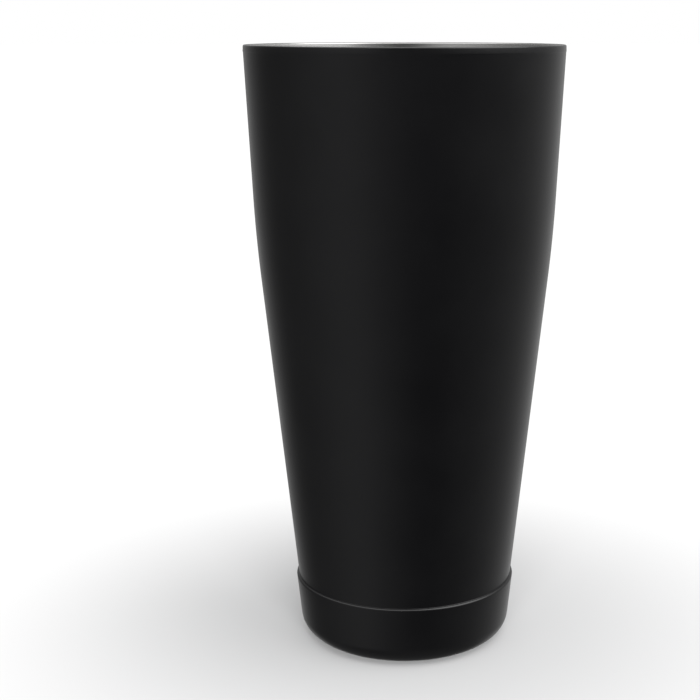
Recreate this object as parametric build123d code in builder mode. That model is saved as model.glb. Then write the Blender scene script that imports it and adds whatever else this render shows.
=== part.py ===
from build123d import *

import os
from math import acos, cos, pi, radians, tan

# A weighted shaker tin for a bar, in millimetres, +Z up. The origin is on the tin's axis, on the
# surface that the tin stands on. Nearly every piece is turned about that axis from a section in the
# XZ plane, where X is the radius and Z the height.

# Size over the powder coat
RIM_RADIUS = 46.0
HEIGHT = 177.1
COAT = 0.1

# Side of the tin: two straight tapers, in degrees, that meet in a soft knee
UPPER_TAPER = 2.75
LOWER_TAPER = 6.0
KNEE_BEND = 400.0
SEAM_HEIGHT = 18.7
SEAM_RADIUS = 32.49

# Tin body
TIN_WALL = 0.6
TIN_FLOOR = 8.0
TIN_CORNER = 5.5

# Lip: the mouth's edge, pressed a hair thicker than the wall, leans inwards by some degrees and
# stands a hair proud outside. The coat ends on its round crown, some degrees past the top.
LIP_THICKNESS = 0.65
LIP_DEPTH = 1.95
LIP_LEAN = 2.0
LIP_PROUD = 0.06
COAT_WRAP = 20.0

# Base cup
CUP_WALL = 0.6
CUP_CORNER = 6.5
CUP_EDGE_ROUND = 0.5
RECESS_DEPTH = 1.0
RECESS_RADIUS = 21.8
FOOT_INNER_RADIUS = 23.2
FOOT_BEND = 0.8

# Seam between the cup's wall and the tin's
SEAM_GAP = 0.15
SEALANT_DEPTH = 5.4
WELD_COUNT = 4
WELD_DIAMETER = 3.0
WELD_BELOW_EDGE = 3.0

# Ballast and its bed
BALLAST_RADIUS = 24.0
BALLAST_THICKNESS = 5.0
BALLAST_CHAMFER = 0.6
ADHESIVE_RADIUS = 20.5
ADHESIVE_THICKNESS = 0.4

# Share of the slope round the recess that is coated, from the recess towards the foot
COATED_SLOPE = 0.84

# Worked out from the sizes above
upper, lower = radians(UPPER_TAPER), radians(LOWER_TAPER)
lip_reach = LIP_THICKNESS / 2 + COAT
lip_rise = Vector(0, LIP_DEPTH - LIP_THICKNESS).rotate(Axis.Z, LIP_LEAN)
lip_base = Vector(RIM_RADIUS - lip_reach, HEIGHT - lip_reach - lip_rise.Y)
lip_centre = lip_base + lip_rise / 2
crown = lip_base + lip_rise
lip_angle = 90 + LIP_LEAN
cup_top = SEAM_HEIGHT - COAT
cup_inset = COAT - SEAM_GAP - CUP_WALL
panel_top = RECESS_DEPTH + CUP_WALL
foot_lean = acos(CUP_CORNER / (CUP_CORNER + COAT))


def lower_side(height, inset):
    """Radius of the lower taper at a height, moved in square to it from the coated surface."""
    return SEAM_RADIUS + (height - SEAM_HEIGHT) * tan(lower) - inset / cos(lower)


def upper_side(height, inset):
    """Radius of the upper taper at a height, moved in likewise. The lip stands proud of it."""
    reach = lip_reach - LIP_PROUD - inset
    return lip_base.X + (height - lip_base.Y) * tan(upper) + reach / cos(upper)


def tin_outline(inset, floor, top):
    """Corners of the tin's half section: on the axis, at the floor, at the knee and at the top."""
    knee = (upper_side(0, inset) - lower_side(0, inset)) / (tan(lower) - tan(upper))
    corner = (lower_side(floor, inset), floor)
    return [(0, floor), corner, (lower_side(knee, inset), knee), (upper_side(top, inset), top)]


def cup_outline(grow):
    """Corners of the cup's half section as a solid block, grown outwards: axis, foot, edge, axis."""
    foot, edge = -grow, cup_top + grow
    inset = cup_inset - grow
    return [(0, foot), (lower_side(foot, inset), foot), (lower_side(edge, inset), edge), (0, edge)]


def save(piece, name):
    """Labels a finished piece and writes it to its own file."""
    piece.part.label = name
    export_step(piece.part, f"parts/{name}.step")


os.makedirs("parts", exist_ok=True)

# --- Tin body: one drawn sheet with a flat floor and a lip ---
with BuildPart() as tin_body:
    with BuildSketch(Plane.XZ):
        with BuildLine():
            tin_side = FilletPolyline(
                *tin_outline(COAT, TIN_FLOOR - TIN_WALL, lip_centre.Y),
                radius=[TIN_CORNER, KNEE_BEND],
            )
            offset(tin_side, amount=TIN_WALL, side=Side.LEFT)
        make_face()
        with Locations(lip_centre):
            SlotOverall(LIP_DEPTH, LIP_THICKNESS, rotation=lip_angle)
    revolve(axis=Axis.Z)
save(tin_body, "tin_body")

# --- Base cup: drawn sheet with a foot ring, a raised panel and a rounded top edge ---
with BuildPart() as base_cup:
    with BuildSketch(Plane.XZ):
        with BuildLine():
            cup_side = FilletPolyline(
                (0, RECESS_DEPTH),
                (RECESS_RADIUS, RECESS_DEPTH),
                (FOOT_INNER_RADIUS, 0),
                (lower_side(0, cup_inset), 0),
                (lower_side(SEAM_HEIGHT, cup_inset), SEAM_HEIGHT),
                radius=[FOOT_BEND, FOOT_BEND, CUP_CORNER],
            )
            offset(cup_side, amount=CUP_WALL, side=Side.LEFT)
        make_face()
        with Locations((0, cup_top)):
            Rectangle(RIM_RADIUS, HEIGHT, align=Align.MIN, mode=Mode.SUBTRACT)
        fillet(vertices().sort_by(Axis.X)[-1], CUP_EDGE_ROUND)
    revolve(axis=Axis.Z)
save(base_cup, "base_cup")

# --- Seam: a narrow ring of space between the two walls, which welds and epoxy share ---
with BuildPart() as seam_ring:
    with BuildSketch(Plane.XZ):
        with BuildLine():
            seam_bottom = cup_top - SEALANT_DEPTH
            Polyline(
                (lower_side(seam_bottom, COAT), seam_bottom),
                (lower_side(seam_bottom, COAT - SEAM_GAP), seam_bottom),
                (lower_side(cup_top, COAT - SEAM_GAP), cup_top),
                (lower_side(cup_top, COAT), cup_top),
                close=True,
            )
        make_face()
    revolve(axis=Axis.Z)

with BuildPart() as weld_studs:
    for heading in range(WELD_COUNT):
        facing = Plane.YZ.rotated((0, 0, heading * 360 / WELD_COUNT))
        with BuildSketch(facing):
            with Locations((0, cup_top - WELD_BELOW_EDGE)):
                Circle(WELD_DIAMETER / 2)
        extrude(amount=RIM_RADIUS)

with BuildPart() as spot_welds:
    add(seam_ring.part)
    add(weld_studs.part, mode=Mode.INTERSECT)
save(spot_welds, "spot_welds")

with BuildPart() as seam_sealant:
    add(seam_ring.part)
    add(weld_studs.part, mode=Mode.SUBTRACT)
save(seam_sealant, "seam_sealant")

# --- Ballast: a steel disc on a bed of epoxy, between the cup's panel and the tin's floor ---
with BuildPart() as ballast_adhesive:
    with BuildSketch(Plane.XY.offset(panel_top)):
        Circle(ADHESIVE_RADIUS)
    extrude(amount=ADHESIVE_THICKNESS)
save(ballast_adhesive, "ballast_adhesive")

with BuildPart() as ballast_disc:
    with BuildSketch(Plane.XY.offset(panel_top + ADHESIVE_THICKNESS)):
        Circle(BALLAST_RADIUS)
    extrude(amount=BALLAST_THICKNESS)
    chamfer(edges(), BALLAST_CHAMFER)
save(ballast_disc, "ballast_disc")

# --- Powder coat: a skin over the outside, from the lip's crown to the foot, and in the recess ---
# Tin, lip and cup are drawn as solid blocks, once grown by the coat and once cut away at size.
# The foot ring stays bare: the coat ends square to the corner, where it would pass the foot's level.
with BuildPart() as powder_coat:
    with BuildSketch(Plane.XZ):
        for grow, mode in ((COAT, Mode.ADD), (0, Mode.SUBTRACT)):
            with BuildLine():
                FilletPolyline(
                    *tin_outline(COAT - grow, TIN_FLOOR, lip_centre.Y),
                    (0, lip_centre.Y),
                    radius=[0, 0, KNEE_BEND + grow, 0, 0],
                    close=True,
                )
            make_face(mode=mode)
            with Locations(lip_centre):
                lip_size = (LIP_DEPTH + 2 * grow, LIP_THICKNESS + 2 * grow)
                SlotOverall(*lip_size, rotation=lip_angle, mode=mode)
            with BuildLine():
                FilletPolyline(
                    *cup_outline(grow),
                    radius=[0, CUP_CORNER + grow, CUP_EDGE_ROUND + grow, 0],
                    close=True,
                )
            make_face(mode=mode)
        with BuildLine():
            wrap_end = crown + Vector(0, LIP_DEPTH).rotate(Axis.Z, COAT_WRAP)
            Polyline(crown, wrap_end, lip_centre - Vector(LIP_DEPTH, 0), lip_centre, close=True)
        make_face(mode=Mode.SUBTRACT)
        with BuildLine():
            foot_outer = lower_side(0, cup_inset) - CUP_CORNER * tan((pi / 2 - lower) / 2)
            foot_cut = foot_outer + 2 * CUP_CORNER * tan(foot_lean)
            Polyline(
                (0, CUP_CORNER),
                (foot_outer, CUP_CORNER),
                (foot_cut, -CUP_CORNER),
                (0, -CUP_CORNER),
                close=True,
            )
        make_face(mode=Mode.SUBTRACT)
        with BuildLine():
            slope = Vector(FOOT_INNER_RADIUS - RECESS_RADIUS, -RECESS_DEPTH)
            recess_edge = Vector(RECESS_RADIUS, RECESS_DEPTH)
            recess_side = FilletPolyline(
                (0, RECESS_DEPTH),
                recess_edge,
                recess_edge + slope * COATED_SLOPE,
                radius=FOOT_BEND,
            )
            offset(recess_side, amount=COAT, side=Side.RIGHT)
        make_face()
    revolve(axis=Axis.Z)
save(powder_coat, "powder_coat")
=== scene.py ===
from math import acos, cos, pi, radians, sin, tan

import bmesh
import bpy
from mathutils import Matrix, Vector


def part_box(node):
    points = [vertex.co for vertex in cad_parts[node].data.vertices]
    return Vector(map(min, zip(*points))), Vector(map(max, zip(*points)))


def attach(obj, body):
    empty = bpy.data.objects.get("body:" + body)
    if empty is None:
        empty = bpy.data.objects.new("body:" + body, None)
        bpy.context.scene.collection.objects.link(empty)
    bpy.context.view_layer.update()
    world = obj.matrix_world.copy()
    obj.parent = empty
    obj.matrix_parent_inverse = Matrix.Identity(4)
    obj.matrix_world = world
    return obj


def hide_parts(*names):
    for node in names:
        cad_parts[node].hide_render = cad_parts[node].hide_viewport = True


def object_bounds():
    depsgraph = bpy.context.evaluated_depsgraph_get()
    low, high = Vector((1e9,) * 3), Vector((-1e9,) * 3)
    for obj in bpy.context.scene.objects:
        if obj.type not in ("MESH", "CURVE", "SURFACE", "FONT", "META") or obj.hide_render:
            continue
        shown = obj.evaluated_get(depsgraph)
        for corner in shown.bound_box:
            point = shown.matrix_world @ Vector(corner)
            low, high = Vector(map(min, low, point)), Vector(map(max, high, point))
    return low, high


# A weighted shaker tin, in metres, +Z up, standing on its foot at the origin. The coat, the tin and
# the cup are turned from fine sections in the XZ plane, where x is the radius and y the height.

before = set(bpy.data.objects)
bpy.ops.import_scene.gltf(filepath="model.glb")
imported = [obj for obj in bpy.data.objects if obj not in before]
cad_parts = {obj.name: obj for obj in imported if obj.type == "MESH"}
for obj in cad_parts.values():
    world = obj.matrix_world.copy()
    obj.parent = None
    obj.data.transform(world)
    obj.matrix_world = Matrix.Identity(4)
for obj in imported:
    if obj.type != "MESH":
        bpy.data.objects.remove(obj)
cad_low, cad_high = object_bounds()

# Sizes from the frame. The CAD's mesh is a hair narrower along Y, and the rim keeps inside that.
RIM_RADIUS = min(cad_high.x, cad_high.y)
HEIGHT = cad_high.z
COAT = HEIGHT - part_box("tin_body")[1].z
CUP_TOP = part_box("base_cup")[1].z
TIN_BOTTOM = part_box("tin_body")[0].z

# Side of the tin: two straight tapers that meet in a soft knee, over the coat
UPPER_TAPER = radians(2.75)
LOWER_TAPER = radians(6.0)
KNEE_BEND = 0.4
SEAM_RADIUS = 0.03249
SEAM_HEIGHT = CUP_TOP + COAT
SHEET = 0.0006
TIN_CORNER = 0.0055

# Lip: a hair thicker than the sheet, leaning inwards. The coat ends a little past its crown.
LIP_THICKNESS = 0.00065
LIP_DEPTH = 0.00195
LIP_LEAN = radians(2.0)
LIP_PROUD = 0.00006
COAT_WRAP = radians(20.0)

# Base cup, and the share of the slope round its recess that is coated
CUP_CORNER = 0.0065
CUP_EDGE_ROUND = 0.0005
SEAM_GAP = 0.00015
SEAM_FILLET = 0.00012
RECESS_DEPTH = 0.001
RECESS_RADIUS = 0.0218
FOOT_INNER_RADIUS = 0.0232
FOOT_BEND = 0.0008
COATED_SLOPE = 0.84

# Mesh fineness
TURNS = 288
ARC_STEPS = 10
KNEE_STEPS = 16
WALL_STEP = 0.003
SHARP_ANGLE = radians(28)
ON_AXIS = 1e-7

# Worked out from the sizes above
LIP_REACH = LIP_THICKNESS / 2 + COAT
LIP_RISE = Vector((-sin(LIP_LEAN), cos(LIP_LEAN))) * (LIP_DEPTH - LIP_THICKNESS)
LIP_BASE = Vector((RIM_RADIUS - LIP_REACH, HEIGHT - LIP_REACH - LIP_RISE.y))
CROWN = LIP_BASE + LIP_RISE
CUP_INSET = COAT - SEAM_GAP - SHEET
FOOT_OUTER_RADIUS = (
    SEAM_RADIUS - SEAM_HEIGHT * tan(LOWER_TAPER) - CUP_INSET / cos(LOWER_TAPER)
    - CUP_CORNER * tan((pi / 2 - LOWER_TAPER) / 2)
)


# --- Sections ---
def lower_side(height, inset):
    """Radius of the lower taper at a height, moved in square to it from the coated surface."""
    return SEAM_RADIUS + (height - SEAM_HEIGHT) * tan(LOWER_TAPER) - inset / cos(LOWER_TAPER)


def upper_side(height, inset):
    """Radius of the upper taper at a height, moved in likewise. The lip stands proud of it."""
    reach = LIP_REACH - LIP_PROUD - inset
    return LIP_BASE.x + (height - LIP_BASE.y) * tan(UPPER_TAPER) + reach / cos(UPPER_TAPER)


def knee(inset):
    """Where the two tapers cross."""
    rise = upper_side(0, inset) - lower_side(0, inset)
    height = rise / (tan(LOWER_TAPER) - tan(UPPER_TAPER))
    return Vector((lower_side(height, inset), height))


def arc(centre, radius, start, end, steps=ARC_STEPS):
    """Points on an arc, with angles counted from the radius direction towards +Z."""
    step = (end - start) / steps
    return [
        centre + radius * Vector((cos(start + step * i), sin(start + step * i)))
        for i in range(steps + 1)
    ]


def bend(before, corner, after, radius, steps=ARC_STEPS):
    """Points that round one corner of a path with an arc of the given radius."""
    back, ahead = (before - corner).normalized(), (after - corner).normalized()
    half = back.angle(ahead) / 2
    centre = corner + (back + ahead).normalized() * (radius / sin(half))
    first = corner + back * (radius / tan(half)) - centre
    sweep = (pi - 2 * half) * (1 if back.x * ahead.y - back.y * ahead.x < 0 else -1)
    step = sweep / steps
    return [
        centre + Vector((
            first.x * cos(step * i) - first.y * sin(step * i),
            first.x * sin(step * i) + first.y * cos(step * i),
        ))
        for i in range(steps + 1)
    ]


def rounded(corners, radii):
    """A path through corners, each but the first and last rounded by its radius."""
    corners = [Vector(c) for c in corners]
    path = [corners[0]]
    for i, radius in enumerate(radii, 1):
        path += bend(corners[i - 1], corners[i], corners[i + 1], radius)
    return path + [corners[-1]]


def stepped(path):
    """The same path with its long straight stretches cut into even steps."""
    out = [path[0]]
    for a, b in zip(path, path[1:]):
        parts = max(1, round((b - a).length / WALL_STEP))
        out += [a.lerp(b, i / parts) for i in range(1, parts + 1)]
    return out


def wall(inset, bottom, top):
    """The tin's wall from a low point up to a high one, round the knee."""
    corner = knee(inset)
    return [bottom] + bend(bottom, corner, top, KNEE_BEND - inset, KNEE_STEPS) + [top]


# --- Meshes ---
def turn(bm, section):
    """Turns a closed section about the axis, where its points on the axis stay single."""
    angles = [2 * pi * i / TURNS for i in range(TURNS)]
    rings = []
    for p in section:
        if p.x < ON_AXIS:
            rings.append([bm.verts.new((0, 0, p.y))] * TURNS)
        else:
            rings.append([bm.verts.new((p.x * cos(a), p.x * sin(a), p.y)) for a in angles])
    for ring, following in zip(rings, rings[1:] + rings[:1]):
        for i in range(TURNS):
            j = (i + 1) % TURNS
            corners = dict.fromkeys((ring[i], following[i], following[j], ring[j]))
            if len(corners) > 2:
                bm.faces.new(corners)


def lathe(name, sections, material, node):
    """Turns closed sections into the solid shells of a piece that stands for a CAD node."""
    mesh = bpy.data.meshes.new(name)
    bm = bmesh.new()
    for section in sections:
        turn(bm, section)
    bmesh.ops.recalc_face_normals(bm, faces=bm.faces)
    bm.to_mesh(mesh)
    bm.free()
    mesh.polygons.foreach_set("use_smooth", [True] * len(mesh.polygons))
    mesh.set_sharp_from_angle(angle=SHARP_ANGLE)
    mesh.materials.append(material)
    piece = bpy.data.objects.new(name, mesh)
    bpy.context.scene.collection.objects.link(piece)
    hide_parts(node)
    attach(piece, "root")


def tin_section():
    """Drawn sheet: outside wall, lip, an inside wall straight down from the lip, and flat floor."""
    # The lip stands proud, so the round foot of its outside ends where it dips into the wall
    thin = LIP_THICKNESS / 2
    dip = acos((LIP_REACH - LIP_PROUD - COAT) / thin)
    lip = arc(LIP_BASE, thin, -UPPER_TAPER - dip, LIP_LEAN)
    lip += arc(CROWN, thin, LIP_LEAN, pi - UPPER_TAPER, 2 * ARC_STEPS)
    floor = TIN_BOTTOM + SHEET
    low_out = Vector((lower_side(TIN_BOTTOM, COAT), TIN_BOTTOM))
    low_in = Vector((lower_side(floor, COAT + SHEET), floor))
    outside = bend(Vector((0, TIN_BOTTOM)), low_out, knee(COAT), TIN_CORNER)
    inside = bend(Vector((0, floor)), low_in, knee(COAT + SHEET), TIN_CORNER - SHEET)
    outer_wall = wall(COAT, outside[-1], lip[0])
    inner_wall = wall(COAT + SHEET, inside[-1], lip[-1])
    path = [Vector((0, TIN_BOTTOM))] + outside[:-1] + outer_wall + lip[1:-1]
    path += inner_wall[::-1] + inside[-2::-1] + [Vector((0, floor))]
    return stepped(path)


def cup_section():
    """Drawn sheet: recessed panel, foot ring, corner and wall with a rounded edge."""
    outside = rounded(
        [
            (0, RECESS_DEPTH),
            (RECESS_RADIUS, RECESS_DEPTH),
            (FOOT_INNER_RADIUS, 0),
            (lower_side(0, CUP_INSET), 0),
            (lower_side(CUP_TOP, CUP_INSET), CUP_TOP),
            (lower_side(CUP_TOP, CUP_INSET + SHEET), CUP_TOP),
        ],
        [FOOT_BEND, FOOT_BEND, CUP_CORNER, CUP_EDGE_ROUND],
    )
    slope = Vector((FOOT_INNER_RADIUS - RECESS_RADIUS, -RECESS_DEPTH)).normalized()
    raised = Vector((slope.y, -slope.x)) * -SHEET
    panel = Vector((RECESS_RADIUS, RECESS_DEPTH)) + raised
    foot = Vector((FOOT_INNER_RADIUS, 0)) + raised
    panel += slope * ((SHEET - raised.y) / slope.y)
    foot += slope * ((SHEET - raised.y) / slope.y)
    inside = rounded(
        [
            (0, panel.y),
            panel,
            foot,
            (lower_side(SHEET, CUP_INSET + SHEET), SHEET),
            (lower_side(CUP_TOP, CUP_INSET + SHEET), CUP_TOP),
        ],
        [FOOT_BEND + SHEET, FOOT_BEND - SHEET, CUP_CORNER - SHEET],
    )
    return stepped(outside[:-1] + inside[::-1])


def coat_side(inset):
    """One face of the coat, from just inside the lip's crown down to the edge of the foot."""
    thick = LIP_REACH - inset
    dip = acos((LIP_REACH - LIP_PROUD - inset) / thick)
    lip = arc(CROWN, thick, pi / 2 + COAT_WRAP, LIP_LEAN, 2 * ARC_STEPS)
    lip += arc(LIP_BASE, thick, LIP_LEAN, -UPPER_TAPER - dip)
    cup_edge = SEAM_HEIGHT - inset
    grown = COAT - inset
    side = CUP_INSET - grown
    seam = Vector((lower_side(cup_edge, inset), cup_edge))
    edge = Vector((lower_side(cup_edge, side), cup_edge))
    foot = Vector((lower_side(-grown, side), -grown))
    seam_turn = bend(knee(inset), seam, edge, SEAM_FILLET + inset)
    edge_turn = bend(seam, edge, foot, CUP_EDGE_ROUND + grown)
    end = acos(CUP_CORNER / (CUP_CORNER + COAT)) - pi / 2
    corner = arc(
        Vector((FOOT_OUTER_RADIUS, CUP_CORNER)), CUP_CORNER + grown, -LOWER_TAPER, end, 2 * ARC_STEPS
    )
    down = wall(inset, seam_turn[0], lip[-1])[::-1]
    return lip[:-1] + down + seam_turn[1:] + edge_turn + corner


def coat_section():
    """The skin of powder coat over tin and cup."""
    return stepped(coat_side(0)) + stepped(coat_side(COAT))[::-1]


def recess_section():
    """The disc of powder coat in the recess under the base, most of the way down its slope."""
    slope = Vector((FOOT_INNER_RADIUS - RECESS_RADIUS, -RECESS_DEPTH))
    along = slope.normalized()
    below = Vector((along.y, -along.x)) * COAT
    edge = Vector((RECESS_RADIUS, RECESS_DEPTH))
    end = edge + slope * COATED_SLOPE
    low_edge = edge + below - along * ((COAT + below.y) / along.y)
    upper = rounded([(0, RECESS_DEPTH), edge, end], [FOOT_BEND])
    under = rounded([(0, RECESS_DEPTH - COAT), low_edge, end + below], [FOOT_BEND - COAT])
    return stepped(upper + under[::-1])


# --- Materials ---
WHITE = (1, 1, 1, 1)
SMEARED = 0.88
MARK_DRIFT = 0.0004
PIT_FINENESS = 6


def shader(name):
    """A new node material: its tree, its Principled shader and object coordinates."""
    material = bpy.data.materials.new(name)
    material.use_nodes = True
    nodes = material.node_tree.nodes
    return material, nodes["Principled BSDF"], nodes.new("ShaderNodeTexCoord").outputs["Object"]


def add(owner, kind, inputs=(), **settings):
    """A node of a material or world, with its inputs, each a value or another node's output.

    The settings are the node's own properties.
    """
    node = owner.node_tree.nodes.new(kind)
    for key, value in settings.items():
        setattr(node, key, value)
    for key, value in dict(inputs).items():
        if isinstance(value, bpy.types.NodeSocket):
            owner.node_tree.links.new(value, node.inputs[key])
        else:
            node.inputs[key].default_value = value
    return node


def noise(material, where, scale, detail=2.0, roughness=0.5):
    """Noise with features of about 1 / scale metres."""
    inputs = {"Vector": where, "Scale": scale, "Detail": detail, "Roughness": roughness}
    return add(material, "ShaderNodeTexNoise", inputs).outputs["Fac"]


def spread(owner, value, low, high, start=0.3, end=0.7):
    """A value from start to end mapped to low to high."""
    inputs = {"Value": value, "From Min": start, "From Max": end, "To Min": low, "To Max": high}
    return add(owner, "ShaderNodeMapRange", inputs).outputs["Result"]


def blend_colours(material, factor, first, second):
    """A colour between two, by a factor."""
    node = add(material, "ShaderNodeMix", {"Factor": factor}, data_type="RGBA")
    colour_a, colour_b = [s for s in node.inputs if s.type == "RGBA"]
    colour_a.default_value = (*first, 1)
    colour_b.default_value = (*second, 1)
    return [s for s in node.outputs if s.type == "RGBA"][0]


def connect(owner, source, node, socket):
    """Feeds a node's socket from another node's output."""
    owner.node_tree.links.new(source, node.inputs[socket])


def bump(material, height, distance, under=None):
    """A bump of so many metres, laid over another one if there is one."""
    inputs = {"Height": height, "Distance": distance, "Strength": 1.0}
    if under is not None:
        inputs["Normal"] = under
    return add(material, "ShaderNodeBump", inputs).outputs["Normal"]


def powder_coat_material():
    """Black satin powder coat: fine orange peel, a little mottling and dust-fine grain."""
    material, surface, where = shader("black_powder_coat")
    peel = noise(material, where, scale=1100)
    grain = noise(material, where, scale=5200, detail=3, roughness=0.6)
    mottle = noise(material, where, scale=60, detail=3)
    colour = blend_colours(material, mottle, (0.0005, 0.0005, 0.0006), (0.001, 0.001, 0.0011))
    connect(material, colour, surface, "Base Color")
    connect(material, spread(material, mottle, low=0.22, high=0.27), surface, "Roughness")
    waves = bump(material, peel, distance=0.000012)
    connect(material, bump(material, grain, distance=0.000003, under=waves), surface, "Normal")
    return material


def steel_material(name, colour, low, high):
    """Bare stainless steel with fine turning marks that run round the axis."""
    material, surface, where = shader(name)
    axes = add(material, "ShaderNodeSeparateXYZ", {"Vector": where}).outputs
    flat = add(material, "ShaderNodeCombineXYZ", {"X": axes["X"], "Y": axes["Y"]}).outputs["Vector"]
    radius = add(material, "ShaderNodeVectorMath", {0: flat}, operation="LENGTH").outputs["Value"]
    around = add(material, "ShaderNodeMath", {0: axes["Y"], 1: axes["X"]}, operation="ARCTAN2")
    drift = add(
        material, "ShaderNodeMath", {0: around.outputs[0], 1: MARK_DRIFT}, operation="MULTIPLY"
    )
    turned = add(
        material, "ShaderNodeCombineXYZ", {"X": radius, "Y": drift.outputs[0], "Z": axes["Z"]}
    ).outputs["Vector"]
    marks = noise(material, turned, scale=2600, detail=4, roughness=0.65)
    bands = noise(material, turned, scale=160)
    smears = noise(material, where, scale=45, detail=4)
    smeared = blend_colours(material, smears, colour, [c * SMEARED for c in colour])
    connect(material, smeared, surface, "Base Color")
    surface.inputs["Metallic"].default_value = 1
    connect(material, spread(material, bands, low, high), surface, "Roughness")
    connect(material, bump(material, marks, distance=0.000004), surface, "Normal")
    return material


def rough_material(name, dark, light, low, high, scale, depth, metallic=0.0):
    """A plain rough material: mottled colour, uneven gloss and a pitted face."""
    material, surface, where = shader(name)
    mottle = noise(material, where, scale, detail=5, roughness=0.6)
    pits = noise(material, where, scale * PIT_FINENESS, detail=3)
    connect(material, blend_colours(material, mottle, dark, light), surface, "Base Color")
    connect(material, spread(material, pits, low, high), surface, "Roughness")
    connect(material, bump(material, pits, depth), surface, "Normal")
    surface.inputs["Metallic"].default_value = metallic
    return material


coat = powder_coat_material()
inside_steel = steel_material("turned_steel", (0.67, 0.665, 0.655), low=0.18, high=0.265)
foot_steel = steel_material("scuffed_steel", (0.5, 0.49, 0.48), low=0.3, high=0.5)

lathe("coat_skin", [coat_section(), recess_section()], coat, "powder_coat")
lathe("tin_shell", [tin_section()], inside_steel, "tin_body")
lathe("cup_shell", [cup_section()], foot_steel, "base_cup")

# The pieces inside the base stay the CAD's own. Each has its dark and light tones, its range of
# roughness, the scale of its mottling and the depth of its pits.
HIDDEN = {
    "ballast_disc": {
        "dark": (0.13, 0.12, 0.12), "light": (0.3, 0.29, 0.28),
        "low": 0.45, "high": 0.7, "scale": 160, "depth": 0.00003, "metallic": 1.0,
    },
    "ballast_adhesive": {
        "dark": (0.42, 0.39, 0.31), "light": (0.58, 0.55, 0.46),
        "low": 0.3, "high": 0.55, "scale": 240, "depth": 0.00005,
    },
    "seam_sealant": {
        "dark": (0.4, 0.37, 0.3), "light": (0.56, 0.53, 0.45),
        "low": 0.35, "high": 0.6, "scale": 500, "depth": 0.00002,
    },
    "spot_welds": {
        "dark": (0.2, 0.16, 0.14), "light": (0.55, 0.53, 0.5),
        "low": 0.35, "high": 0.6, "scale": 900, "depth": 0.00002, "metallic": 1.0,
    },
}
for node, look in HIDDEN.items():
    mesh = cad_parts[node].data
    mesh.materials.clear()
    mesh.materials.append(rough_material(node + "_look", **look))

# --- Stage: a floor that is painted darker grey near the tin, a painted pool of shade round it, and glows white further out ---
FLOOR_RADIUS = 12.0
FLOOR_SIDES = 96
FLOOR_NEAR, FLOOR_FAR = 0.045, 0.155
FLOOR_SHADE_TONE = (0.352, 0.352, 0.354)
FLOOR_ROUGHNESS = 0.9
BLACK = (0, 0, 0)
floor_mesh = bpy.data.meshes.new("floor")
bm = bmesh.new()
bmesh.ops.create_circle(bm, cap_ends=True, segments=FLOOR_SIDES, radius=FLOOR_RADIUS)
bm.to_mesh(floor_mesh)
bm.free()
floor = bpy.data.objects.new("floor", floor_mesh)
floor.location.z = cad_low.z
bpy.context.scene.collection.objects.link(floor)
floor_material, floor_shader, floor_where = shader("pale_floor")
floor_reach = add(floor_material, "ShaderNodeVectorMath", {0: floor_where}, operation="LENGTH")
floor_glow = add(
    floor_material,
    "ShaderNodeMapRange",
    {"Value": floor_reach.outputs["Value"], "From Min": FLOOR_NEAR, "From Max": FLOOR_FAR},
    interpolation_type="SMOOTHSTEP",
).outputs["Result"]
# Painted shade: the floor's colour is the darker tone near the tin and goes to black further out,
# where its emission glows white instead.
floor_colour = blend_colours(floor_material, floor_glow, FLOOR_SHADE_TONE, BLACK)
connect(floor_material, floor_colour, floor_shader, "Base Color")
connect(floor_material, floor_glow, floor_shader, "Emission Strength")
floor_shader.inputs["Emission Color"].default_value = WHITE
floor_shader.inputs["Roughness"].default_value = FLOOR_ROUGHNESS
floor_mesh.materials.append(floor_material)
floor.visible_glossy = False


MIDDLE = (cad_low + cad_high) / 2


def softbox(name, place, width, height, power):
    """A rectangular area light that faces the middle of the tin."""
    light = bpy.data.lights.new(name, "AREA")
    light.shape = "RECTANGLE"
    light.size, light.size_y, light.energy = width, height, power
    lamp = bpy.data.objects.new(name, light)
    lamp.location = place
    lamp.rotation_euler = (MIDDLE - Vector(place)).to_track_quat("-Z", "Y").to_euler()
    bpy.context.scene.collection.objects.link(lamp)
    return lamp


softbox("key_box", place=(1.4, -0.5, 1.5), width=2.2, height=2.2, power=26)
front_box = softbox("front_box", place=(0.1, -1.8, 0.34), width=1.6, height=0.5, power=165)
front_box.visible_glossy = False

# The studio: white to the camera. Everything else sees soft walls all round, whose brightness goes
# by the heading, in degrees from the front (towards -Y) round by +X. There is one ring of them below
# the horizon and a brighter one above it. Over them is a bright ceiling, and under them it is dim.
LOW_WALLS = [
    (-180, 0.6), (-160, 0.4), (-130, 0.12), (-105, 0.1), (-75, 0.2), (-45, 0.34), (-22, 0.22),
    (12, 0.02), (40, 0.06), (75, 0.17), (100, 0.25), (125, 0.34), (155, 0.5), (180, 0.6),
]
HIGH_WALLS = [
    (-180, 0.6), (-130, 0.2), (-105, 0.2), (-65, 0.3), (-32, 0.6), (-12, 0.08), (0, 0.02),
    (15, 0.08), (44, 0.5), (82, 0.9), (120, 0.5), (155, 0.5), (180, 0.6),
]
HIGH_STARTS, HIGH_FULL = 0.0, 0.1
CEILING = 2.2
CEILING_STARTS, CEILING_FULL = 0.5, 0.9
UNDER = 0.13
UNDER_STARTS, UNDER_FULL = -0.58, -0.8
world = bpy.data.worlds.new("studio")
bpy.context.scene.world = world
world.use_nodes = True
background = world.node_tree.nodes["Background"]
direction = add(world, "ShaderNodeTexCoord").outputs["Generated"]
axes = add(world, "ShaderNodeSeparateXYZ", {0: direction}).outputs
front = add(world, "ShaderNodeMath", {0: axes["Y"], 1: -1.0}, operation="MULTIPLY").outputs[0]
heading = add(world, "ShaderNodeMath", {0: axes["X"], 1: front}, operation="ARCTAN2").outputs[0]
turned = spread(world, heading, low=0, high=1, start=-pi, end=pi)


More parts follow.
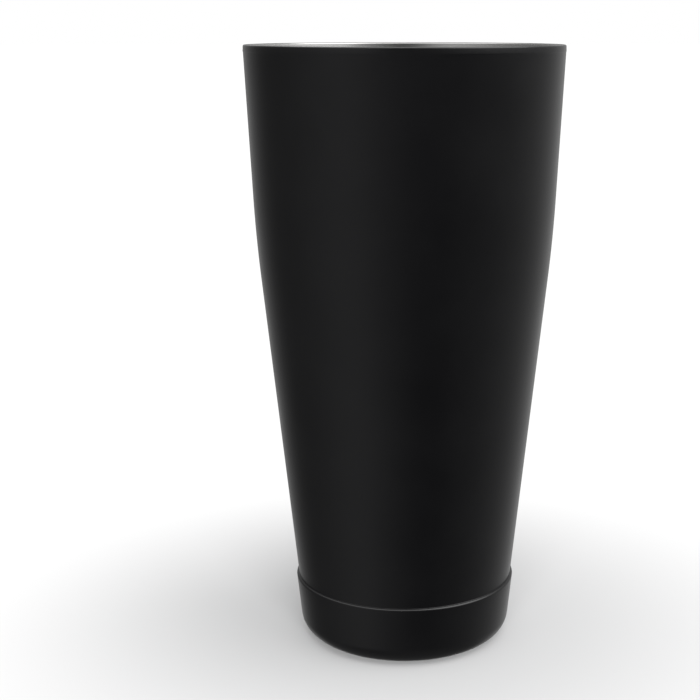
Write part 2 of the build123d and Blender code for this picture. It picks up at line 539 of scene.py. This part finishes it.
def ring_of_walls(levels):
    """The brightness of the walls by heading, as a smooth ramp from -180 degrees to 180."""
    ramp = add(world, "ShaderNodeValToRGB", {"Fac": turned})
    ramp.color_ramp.interpolation = "B_SPLINE"
    stops = ramp.color_ramp.elements
    for degrees, _ in levels[1:-1]:
        stops.new((degrees + 180) / 360)
    for stop, (_, level) in zip(stops, levels):
        stop.color = (level, level, level, 1)
    return ramp.outputs["Color"]


def by_height(starts, full, below, above):
    """A level that goes smoothly from one to another as the direction's height nears full."""
    factor = add(
        world,
        "ShaderNodeMapRange",
        {"Value": axes["Z"], "From Min": starts, "From Max": full},
        interpolation_type="SMOOTHSTEP",
    ).outputs["Result"]
    return add(world, "ShaderNodeMix", {0: factor, 2: below, 3: above}).outputs[0]


room = by_height(HIGH_STARTS, HIGH_FULL, ring_of_walls(LOW_WALLS), ring_of_walls(HIGH_WALLS))
room = by_height(UNDER_STARTS, UNDER_FULL, room, UNDER)
room = by_height(CEILING_STARTS, CEILING_FULL, room, CEILING)
to_camera = add(world, "ShaderNodeLightPath").outputs["Is Camera Ray"]
level = add(world, "ShaderNodeMix", {0: to_camera, 2: room, 3: 1.0}).outputs[0]
world.node_tree.links.new(level, background.inputs["Strength"])
background.inputs["Color"].default_value = WHITE

# --- Camera: close in front, a little above the rim and pitched down. The focal length is in widths
# of the sensor, and the tin's axis is off the picture's middle by a share of the picture's width. ---
CAMERA_DISTANCE = 0.4182
CAMERA_ABOVE_RIM = 0.0061
CAMERA_PITCH = radians(12.858)
SENSOR_WIDTH = 36
FOCAL_WIDTHS = 2.05
AXIS_OFF_CENTRE = 0.078
NEAREST, FARTHEST = 0.01, 50
camera_data = bpy.data.cameras.new("camera")
camera_data.sensor_width = SENSOR_WIDTH
camera_data.lens = FOCAL_WIDTHS * SENSOR_WIDTH
camera_data.shift_x = -AXIS_OFF_CENTRE
camera_data.clip_start, camera_data.clip_end = NEAREST, FARTHEST
camera = bpy.data.objects.new("camera", camera_data)
camera.location = (0, -CAMERA_DISTANCE, HEIGHT + CAMERA_ABOVE_RIM)
camera.rotation_euler = (pi / 2 - CAMERA_PITCH, 0, 0)
bpy.context.scene.collection.objects.link(camera)
bpy.context.scene.camera = camera
bpy.context.scene.view_settings.view_transform = "Standard"
